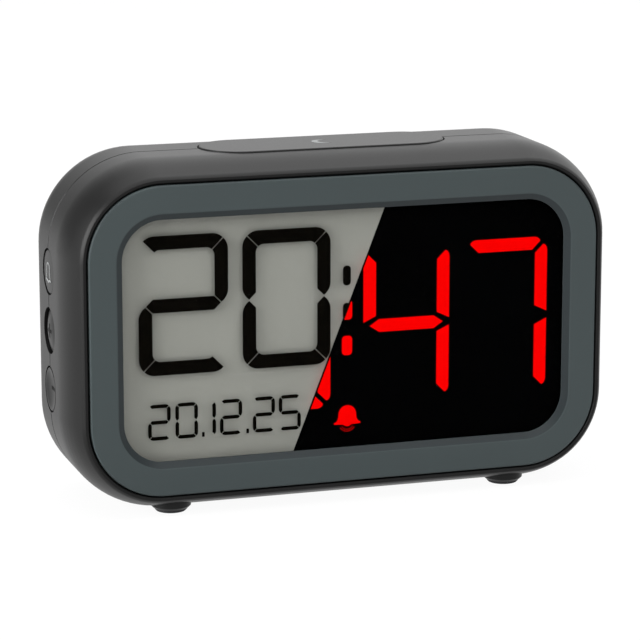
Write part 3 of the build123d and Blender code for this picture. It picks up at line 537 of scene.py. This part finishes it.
# %% LCD glasses and the two grounds
lcd_ledge = 1.5
glass_corner = 0.8
glass_joint = (lcd_low[1] + lcd_high[1]) / 2
layer = 0.04

rear_outline = rounded_rectangle(lcd_width, lcd_height - 2 * lcd_ledge, glass_corner)
front_outline = rounded_rectangle(lcd_width, lcd_height, glass_corner)
rear_glass = plate("lcd_rear_glass", [lifted(rear_outline)], glass_joint, lcd_high[1], "housing",
                   reflector_finish)
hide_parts("lcd_panel")
plate("night_ground", [lifted(kept_side(rear_outline, 1))], glass_joint - 2 * layer, glass_joint - layer,
      "housing", night_finish)
plate("lcd_front_glass", [lifted(front_outline)], lcd_low[1], glass_joint - 3 * layer, "housing",
      front_glass_finish)
print("glasses meet at y", round(glass_joint, 2), "mm, layers are", layer, "mm thick")

# %% [markdown]
# An LCD digit is a ring with a waist, cut into seven bars. Corners are round outside and nearly round
# inside, and thin slanted gaps part the bars. They are worked out from a few numbers: width, height,
# stroke, the two corner radii and the gap. Only three bars are drawn; the rest are mirror images.

# %% LCD segments
def seven_bars(top, right, tip, flat, stroke):
    """The seven bars of a figure by name, from its top and its upper right bar. The middle bar is a flat
    hexagon with its tips on the middle line. The other bars are mirror images. A single mirror turns an
    outline round, so its points are then taken backwards."""
    half = stroke / 2
    middle = np.array([(tip, 0), (flat, half), (-flat, half), (-tip, 0), (-flat, -half), (flat, -half)])
    return {
        "a": top, "g": middle, "d": top[::-1] * (1, -1),
        "b": right, "f": right[::-1] * (-1, 1), "c": right[::-1] * (1, -1), "e": right * (-1, -1),
    }


def lcd_bars(width, height, stroke, outer, inner, gap):
    """The seven outlines of one LCD figure about its middle, by name. Arcs of the outer and inner corner
    radius meet the slanted cuts at 45 degrees; the waist arcs end on the bar's middle line."""
    w, h, s = width / 2, height / 2, stroke
    away = gap / 2 * math.sqrt(2)
    cut = np.array([away, 0.0])
    rise = np.array([0.0, away])
    corner = arc((w - outer, h - outer), outer, 0, 45)
    far_corner = arc((w - outer, h - outer), outer, 45, 90)
    inner_middle = (w - s - inner, h - s - inner)
    inside_low = arc(inner_middle, inner, 45, 0, 5)
    inside_high = arc(inner_middle, inner, 90, 45, 5)
    half_top = np.concatenate([inside_high - cut, far_corner - cut])
    mirrored = half_top[::-1] * (-1, 1)
    top = np.concatenate([half_top, mirrored])
    waist_x = s / 2
    waist_turn = math.degrees(math.acos((outer - waist_x) / outer))
    waist_z = away + outer * math.sin(math.radians(waist_turn))
    waist = arc((w - outer, waist_z), outer, -waist_turn, 0)
    elbow = np.array([[w - s, s / 2 + away]])
    right = np.concatenate([waist, corner - rise, inside_low - rise, elbow])
    return seven_bars(top, right, w - s / 2 - away, w - s - away, s)


time_size = {"width": 22.1, "height": 33.8, "stroke": 3.35, "outer": 3.8, "inner": 1.8, "gap": 0.22}
date_size = {"width": 5.6, "height": 8.8, "stroke": 0.9, "outer": 1.3, "inner": 0.4, "gap": 0.14}
time_bars = lcd_bars(**time_size)
date_bars = lcd_bars(**date_size)
print("bars of an LCD figure:", sorted(time_bars))

# %% [markdown]
# The day face shows a time and, below it, a date. Each figure is the set of bars that it needs, placed
# by its left edge. Two dots part the hours from the minutes, and two more stand between the numbers of
# the date.

# %% Figures of the day face
figure_bars = {"0": "abcdef", "1": "bc", "2": "abged", "4": "fgbc", "5": "afgcd", "7": "abc"}


def row_of_figures(bars, lefts, width, middle_z):
    """Outlines of a row of figures: for each one, the bars that it needs, moved to its place."""
    outlines = []
    for left, figure in lefts.items():
        middle = np.array([left + width / 2, middle_z])
        outlines += [bars[bar] + middle for bar in figure_bars[figure]]
    return outlines


time_middle_z = 8.35
time_lefts = {-51.65: "2", -26.0: "0"}
date_middle_z = -20.0
date_lefts = {-49.65: "2", -42.9: "0", -38.4: "1", -31.85: "2", -23.6: "2", -17.05: "5"}
date_dot = {"width": 0.68, "height": 1.2, "radius": 0.2}
date_dot_x = (-36.0, -24.9)
date_dot_z = date_middle_z - date_size["height"] / 2 + date_dot["height"] / 2
day_colon = {"width": 2.0, "height": 4.9, "radius": 0.9}
day_colon_x = 0.25
day_colon_z = (12.9, 3.7)

day_outlines = row_of_figures(time_bars, time_lefts, time_size["width"], time_middle_z)
day_outlines += row_of_figures(date_bars, date_lefts, date_size["width"], date_middle_z)
day_outlines += [rounded_rectangle(**date_dot) + np.array([x, date_dot_z]) for x in date_dot_x]
day_outlines += [rounded_rectangle(**day_colon) + np.array([day_colon_x, z]) for z in day_colon_z]
day_outlines = shown(day_outlines, -1)
print("day face:", len(day_outlines), "outlines")

# %% [markdown]
# The dark state of a segment is a thin layer of liquid crystal. Here it lies on the front glass, clear
# of the reflector behind, so that it casts its soft shadow there. It takes nearly all light, and what
# is left is a warm black.

# %% Day face
dark_finish = display_layer("liquid_crystal_dark", cloud_mm=4.0, colours=("#0A0805", "#070604"),
                            roughness=0.5, gloss=0.0)
day_piece = plate("day_segments", day_outlines, lcd_low[1] - 2 * layer, lcd_low[1] - layer, "housing",
                  dark_finish)
print("day segments:", len(day_piece.data.polygons), "faces")

# %% [markdown]
# The LED figures are the mouths of the wells in the light box: slimmer bars with wide gaps, pointed
# ends at the corners that are rounded outside, and a long middle bar that reaches between its
# neighbours.

# %% LED segments
def led_bars(width, height, stroke, gap, tip, blunt, point, slope):
    """The seven outlines of one LED figure about its middle, by name. Bars end in 45 degree points whose
    outer side is a quarter of an ellipse; side bars end at the waist in a slanted cut."""
    w, h, s = width / 2, height / 2, stroke
    reach = gap + tip
    turn = np.linspace(0, math.pi / 2, 7)
    bow = np.column_stack([(1 - np.sin(turn)) * -blunt, (1 - np.cos(turn)) * -tip])
    end = np.array([w - reach, h]) + bow[::-1]
    half_top = np.concatenate([[(w - gap - s, h - s)], end])
    top = np.concatenate([half_top, half_top[::-1] * (-1, 1)])
    side_end = np.array([w, h - reach]) + bow[:, ::-1]
    waist = s / 2 + gap
    right = np.concatenate([[(w - s, waist), (w, waist - slope)], side_end, [(w - s, h - gap - s)]])
    return seven_bars(top, right, w - point, w - s - gap, s)


night_size = {"width": 22.1, "height": 39.2, "stroke": 3.2, "gap": 0.8, "tip": 1.1, "blunt": 1.6,
              "point": 1.6, "slope": 1.5}
night_bars = led_bars(**night_size)
print("bars of an LED figure:", sorted(night_bars))

# %% [markdown]
# A bell is drawn twice on this clock: filled and lit in the display, and as a line on the alarm button.
# So it is a function of its width and height, and its curves are shares of them. The arcs below the lit
# bell are parts of thin rings.

# %% Bell and arcs
dome_share = 0.67
rim_share = 0.09
flare_share = 0.4
clapper_share = 0.2
clapper_lift = 0.11


def bell(width, height):
    """Outline of a bell about its middle: a half circle on top, a flared skirt whose edge follows a quarter
    of an ellipse down to a blunt rim, and a small clapper below."""
    half, low = width / 2, -height / 2
    dome = dome_share * half
    rim = low + rim_share * height
    crown = arc((0.0, height / 2 - dome), dome, 0, 180, 17)
    turn = np.linspace(0, math.pi / 2, 7)
    skirt_x = -half + (half - dome) * np.cos(turn)
    skirt_z = rim + flare_share * height * (1 - np.sin(turn))
    left = np.concatenate([np.column_stack([skirt_x, skirt_z]), [(-half, low)]])
    clapper = arc((0.0, low + clapper_lift * width), clapper_share * width, 220, 320, 9)
    right = left[::-1] * (-1, 1)
    return np.concatenate([crown, left, clapper, right])


def ring_part(middle, radius, thickness, from_degrees, to_degrees):
    """Outline of a part of a ring: an outer arc and an inner arc back."""
    outside = arc(middle, radius + thickness / 2, from_degrees, to_degrees, 15)
    inside = arc(middle, radius - thickness / 2, to_degrees, from_degrees, 15)
    return np.concatenate([outside, inside])


night_bell = bell(width=6.8, height=4.7)
print("a bell has", len(night_bell), "points")

# %% [markdown]
# The night face shows the time alone. Its figures are taller than those of the day and stand about the
# middle of the display. They are the lit layer, so they look the same by any lamp.

# %% Night face
night_lefts = {-26.03: "0", 4.47: "4", 30.07: "7"}
night_middle_z = 0.0
night_colon = {"width": 2.6, "height": 4.8, "radius": 0.9}
night_colon_x = 0.3
night_colon_z = (4.4, -4.4)
bell_middle = np.array([0.4, -21.65])
ring_middle = bell_middle + np.array([0.0, -2.05])
ring_radii = (1.65, 2.15)
ring_stroke = 0.09
ring_span = (212, 328)

night_outlines = row_of_figures(night_bars, night_lefts, night_size["width"], night_middle_z)
night_outlines += [rounded_rectangle(**night_colon) + np.array([night_colon_x, z]) for z in night_colon_z]
night_outlines.append(night_bell + bell_middle)
night_outlines += [ring_part(ring_middle, radius, ring_stroke, *ring_span) for radius in ring_radii]
night_outlines = shown(night_outlines, 1)
lit_finish = display_layer("LED_red_lit", cloud_mm=3.0, colours=("#FF0000", "#FA0000"), roughness=0.6,
                           gloss=0.0, lit=True)
plate("night_segments", night_outlines, lcd_low[1] - 2 * layer, lcd_low[1] - layer, "housing", lit_finish)
print("night segments:", len(night_outlines), "outlines")

# %% [markdown]
# The keys carry plain signs, a film of ink thick. Plus and minus are engraved in the domed and the dished
# button. A near-black film stands for the shadow inside the engraving, as painted shade. Each of their
# bars is a small grid of points that follows the ball of its face.

# %% Plus and minus as painted shade of engravings
ink = 0.03
button_rim = 4.9
plus_rise = 0.7
minus_rise = -0.8
sign_length = 3.5
sign_stroke = 0.9
sign_grid = 9


def ball_depth(distance, rise):
    """How far a button's face lies behind its highest plane, at a distance from its middle. The face is
    part of a ball through rim and middle: its radius is (rim squared + rise squared) / (2 rise)."""
    radius = (button_rim ** 2 + rise ** 2) / (2 * abs(rise))
    sag = radius - np.sqrt(radius ** 2 - distance ** 2)
    return sag if rise > 0 else -rise - sag


def sign_bars(name, button, rise, bars, body, finish):
    """A sign of straight bars on a ball-shaped button face. Each bar is a grid of points, across and up
    from the button's middle, laid one film thickness in front of the face."""
    low, high = [np.array(corner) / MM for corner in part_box(button)]
    middle = (low + high) / 2
    points, faces, start = [], [], 0
    for across, up, width, height in bars:
        side_steps = np.linspace(-width / 2, width / 2, sign_grid) + across
        up_steps = np.linspace(-height / 2, height / 2, sign_grid) + up
        side_way, up_way = [way.ravel() for way in np.meshgrid(side_steps, up_steps)]
        x = low[0] + ball_depth(np.hypot(side_way, up_way), rise) - ink
        points.append(np.column_stack([x, middle[1] - side_way, middle[2] + up_way]))
        index = np.arange(sign_grid ** 2).reshape(sign_grid, sign_grid) + start
        cells = np.stack([index[:-1, :-1], index[:-1, 1:], index[1:, 1:], index[1:, :-1]], axis=-1)
        faces += cells.reshape(-1, 4).tolist()
        start += sign_grid ** 2
    return new_piece(name, np.concatenate(points), faces, body, finish)


# Painted shade: a near-black film in place of the shadow inside the engraved plus and minus signs.
engraving_painted_shade = moulded("painted_shade_engraving_black", "#050505", 0.6, gloss=0.1)
half_arm = (sign_length - sign_stroke) / 2
arm = (sign_length + sign_stroke) / 4
plus_bars = [(0.0, 0.0, sign_stroke, sign_length), (-arm, 0.0, half_arm, sign_stroke),
             (arm, 0.0, half_arm, sign_stroke)]
minus_bars = [(0.0, 0.0, sign_length, sign_stroke)]
sign_bars("plus_sign", "plus_button", plus_rise, plus_bars, "plus_key", engraving_painted_shade)
sign_bars("minus_sign", "minus_button", minus_rise, minus_bars, "minus_key", engraving_painted_shade)
print("signs in dark ink: plus with", len(plus_bars), "bars, minus with", len(minus_bars))

# %% [markdown]
# The flat alarm button has a bell drawn in a pale line: a band between a bell and a smaller one inside
# it. The snooze bar has a pale crescent, which is a thin plate on its top.

# %% Bell and crescent in pale ink
crescent_size = 5.2
tip_degrees = 55
hollow_share = 0.42


def crescent(size):
    """Outline of a crescent: most of a circle, and back along a second arc through the same two tips, whose
    middle lies a share of the radius to the right."""
    tip = math.radians(tip_degrees)
    radius = size / 2
    hollow_middle = hollow_share * radius
    tip_x, tip_z = radius * math.cos(tip) - hollow_middle, radius * math.sin(tip)
    hollow = math.hypot(tip_x, tip_z)
    hollow_tip = math.degrees(math.atan2(tip_z, tip_x))
    outside = arc((0.0, 0.0), radius, tip_degrees, 360 - tip_degrees, 33)
    inside = arc((hollow_middle, 0.0), hollow, 360 - hollow_tip, hollow_tip, 25)
    return np.concatenate([outside, inside[1:-1]])


pale_ink = moulded("ink_pale_grey", "#7E8080", 0.6, gloss=0.2)
alarm_low, alarm_high = [np.array(corner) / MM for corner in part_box("alarm_button")]
alarm_middle = (alarm_low + alarm_high) / 2
alarm_width = 5.0
alarm_height = 4.6
alarm_line = 0.45
alarm_place = np.array([-alarm_middle[1], alarm_middle[2]])
alarm_outer = bell(alarm_width, alarm_height) + alarm_place
alarm_inner = bell(alarm_width - 3 * alarm_line, alarm_height - 2 * alarm_line) + alarm_place
band("alarm_sign", alarm_outer, alarm_inner, alarm_low[0] - ink, alarm_low[0] + 2 * ink, "alarm_key",
     pale_ink, facing_left)
bar_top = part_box("snooze_bar")[1][2] / MM
plate("snooze_sign", [crescent(crescent_size)], -bar_top - ink, -bar_top + ink, "snooze_key", pale_ink,
      facing_up)
print("signs in pale ink: a bell of", len(alarm_outer), "points, a crescent of", crescent_size, "mm")

# %% [markdown]
# The floor is a wide pale sheet. It has to look white to the camera and still take the shadow of the
# clock, so it mixes a plain white surface with its own light, and that light is only there for what the
# camera, a reflection or clear glass sees.

# %% Floor
floor_half = 4.0
own_light_share = 0.9
own_light = 1.05
corners = np.array([(-1, -1), (1, -1), (1, 1), (-1, 1)]) * floor_half
floor_mesh = bpy.data.meshes.new("floor")
floor_mesh.from_pydata(np.column_stack([corners, np.zeros(4)]).tolist(), [], [(0, 1, 2, 3)])
material, tree, output = new_material("paper_white")
rays = add(tree, "ShaderNodeLightPath")
seen = add(tree, "ShaderNodeMath", {0: rays.outputs["Is Camera Ray"], 1: rays.outputs["Is Glossy Ray"]},
           operation="MAXIMUM")
seen = add(tree, "ShaderNodeMath", {0: seen.outputs[0], 1: rays.outputs["Is Transmission Ray"]},
           operation="MAXIMUM")
share = add(tree, "ShaderNodeMath", {0: seen.outputs[0], 1: own_light_share}, operation="MULTIPLY")
paper = add(tree, "ShaderNodeBsdfDiffuse", {"Color": linear("#BDBDBD")})
light = add(tree, "ShaderNodeEmission", {"Color": linear("#FFFFFF"), "Strength": own_light})
both = add(tree, "ShaderNodeMixShader", {0: share.outputs[0], 1: paper.outputs[0], 2: light.outputs[0]})
tree.links.new(both.outputs[0], output.inputs["Surface"])
floor_mesh.materials.append(material)
floor = bpy.data.objects.new("floor", floor_mesh)
scene.collection.objects.link(floor)
print("floor:", 2 * floor_half, "m wide")

# %% [markdown]
# The surround of the studio is pale: bright behind the clock and to its right, and greyer elsewhere.
# The top of the clock mirrors it. The level follows how far a direction points to the bright side.

# %% Surround
surround_dim = 0.36
surround_bright = 1.42
bright_way = (0.75, 0.6, 0.28)
bright_from = 0.3
bright_to = 0.85
world = bpy.data.worlds.new("studio_surround")
world.use_nodes = True
world.node_tree.nodes.clear()
tree = world.node_tree
toward = add(tree, "ShaderNodeTexCoord").outputs["Generated"]
behind = add(tree, "ShaderNodeVectorMath", {0: toward, 1: bright_way}, operation="DOT_PRODUCT")
level = add(tree, "ShaderNodeMapRange", {"Value": behind.outputs["Value"],
                                         "From Min": bright_from, "From Max": bright_to,
                                         "To Min": surround_dim, "To Max": surround_bright},
            interpolation_type="SMOOTHSTEP")
surround = add(tree, "ShaderNodeBackground", {"Color": linear("#FFFFFF"),
                                              "Strength": level.outputs["Result"]})
output = tree.nodes.new("ShaderNodeOutputWorld")
tree.links.new(surround.outputs[0], output.inputs["Surface"])
scene.world = world
print("surround from", surround_dim, "to", surround_bright)

# %% [markdown]
# Three soft boxes light the clock. The wide one above lights its top and shows in the lower half of the
# top shoulder, the one in front lights the display and the frame, and the one at the left draws the
# soft light line along the left shoulder.

# %% Soft boxes
def soft_box(name, place, aim, width, height, power):
    """A rectangular lamp at a place, turned so that its face looks at the aim. Lengths in metres, power in
    watts."""
    data = bpy.data.lights.new(name, "AREA")
    data.shape = "RECTANGLE"
    data.size = width
    data.size_y = height
    data.energy = power
    lamp = bpy.data.objects.new(name, data)
    forward = np.asarray(aim, dtype=float) - np.asarray(place, dtype=float)
    flat = math.hypot(forward[0], forward[1])
    lamp.location = place
    lamp.rotation_euler = (math.atan2(flat, -forward[2]), 0.0, math.atan2(-forward[0], forward[1]))
    scene.collection.objects.link(lamp)
    return lamp


clock_middle = (0.0, 0.0, 0.043)
lamps = {
    "soft_box_above": {"place": (0.1, 0.0, 1.25), "width": 1.6, "height": 2.0, "power": 20.0},
    "soft_box_front": {"place": (0.1, -1.15, 0.9), "width": 1.3, "height": 0.6, "power": 5.5},
    "soft_box_left": {"place": (-0.95, -0.15, 0.3), "width": 0.7, "height": 0.8, "power": 16.0},
}
for name, settings in lamps.items():
    soft_box(name, aim=clock_middle, **settings)
print("lamps:", sorted(lamps))

# %% [markdown]

# %% Finish
print("scene dressed")
